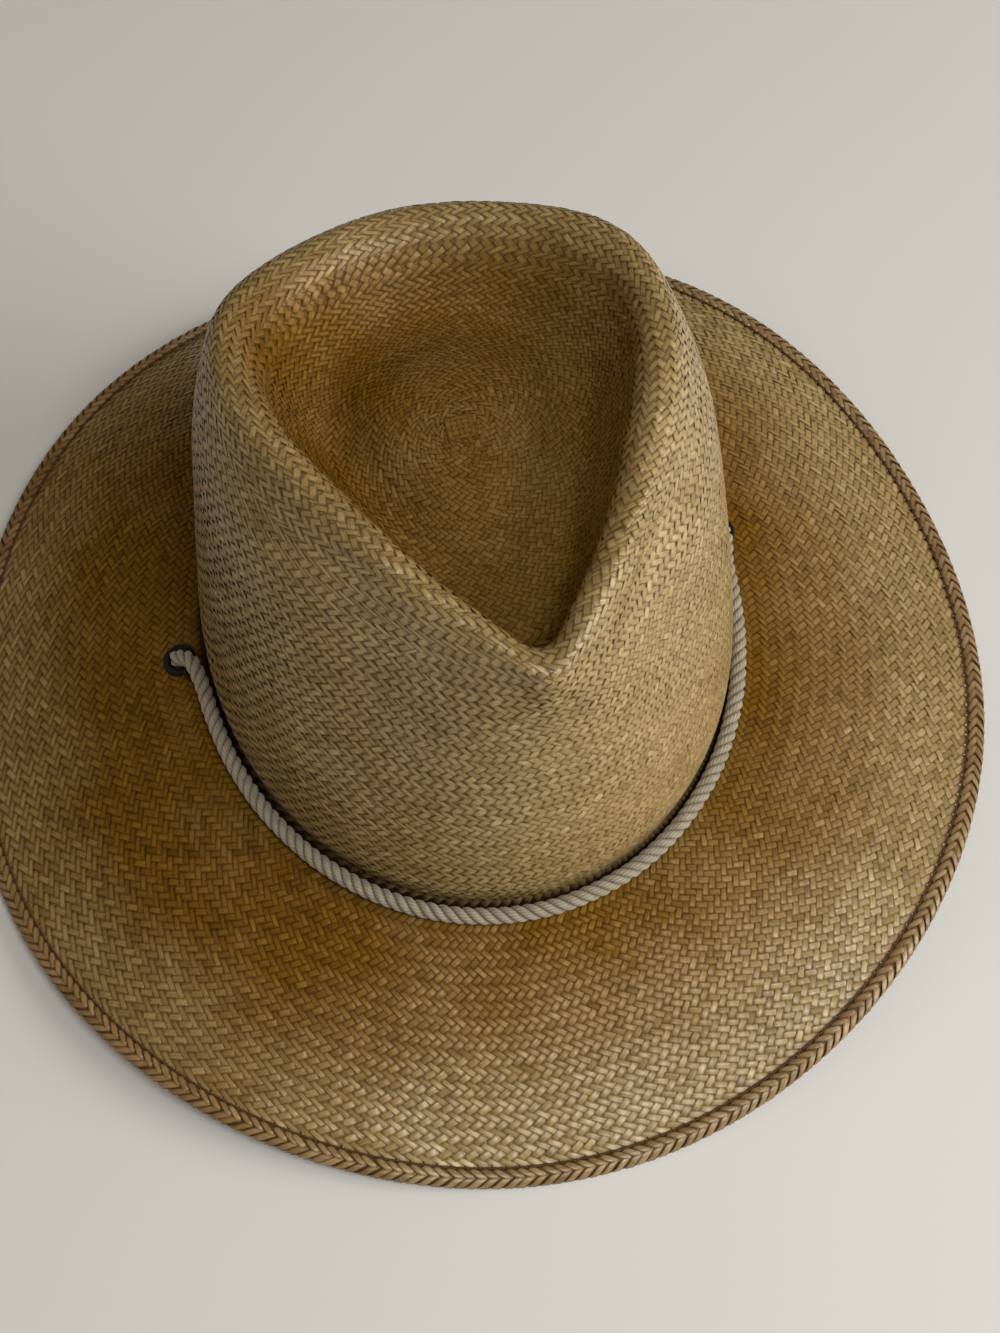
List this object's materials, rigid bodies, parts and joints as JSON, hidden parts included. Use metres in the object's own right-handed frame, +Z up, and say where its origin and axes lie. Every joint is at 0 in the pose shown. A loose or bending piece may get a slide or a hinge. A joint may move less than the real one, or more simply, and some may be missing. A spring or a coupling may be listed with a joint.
{
  "type": "straw fedora hat",
  "caption": "Woven straw hat with a pinched teardrop crown, a wide rippled brim with a plaited edge, and a rope round the crown that goes down through brim eyelets as a chin cord with a slider",
  "frame": {"origin": "On the floor, under the middle of the brim's outline", "axes": "+Z is up out of the crown, the front with the pinch faces -Y, and the wearer's left is +X"},
  "size_m": [0.3484, 0.3597, 0.156],
  "materials": {
    "woven_straw": "satin woven palm strips",
    "plaited_straw": "satin plaited palm strips",
    "brown_thread": "matte",
    "black_metal": "glossy black",
    "cotton_rope": "matte laid cotton",
    "beech": "satin",
    "sweatband_cotton": "matte",
    "pale_thread": "matte"
  },
  "bodies": {
    "hat": {"straw_body": "woven_straw", "brim_edge_band": "plaited_straw", "edge_thread": "brown_thread", "eyelet_left": "black_metal", "eyelet_right": "black_metal", "eyelet_washer_left": "black_metal", "eyelet_washer_right": "black_metal", "crown_cord": "cotton_rope", "chin_cord_left": "cotton_rope", "chin_cord_right": "cotton_rope", "cord_knot_left": "cotton_rope", "cord_knot_right": "cotton_rope", "sweatband": "sweatband_cotton", "sweatband_tab": "sweatband_cotton", "sweatband_thread": "pale_thread"},
    "slider": {"cord_slider": "beech"}
  },
  "joints": [
    {"name": "slider_slide", "type": "slide", "parent": "hat", "child": "slider", "axis": [1, 0, 0], "range_m": [-0.0345, 0.0345]}
  ]
}
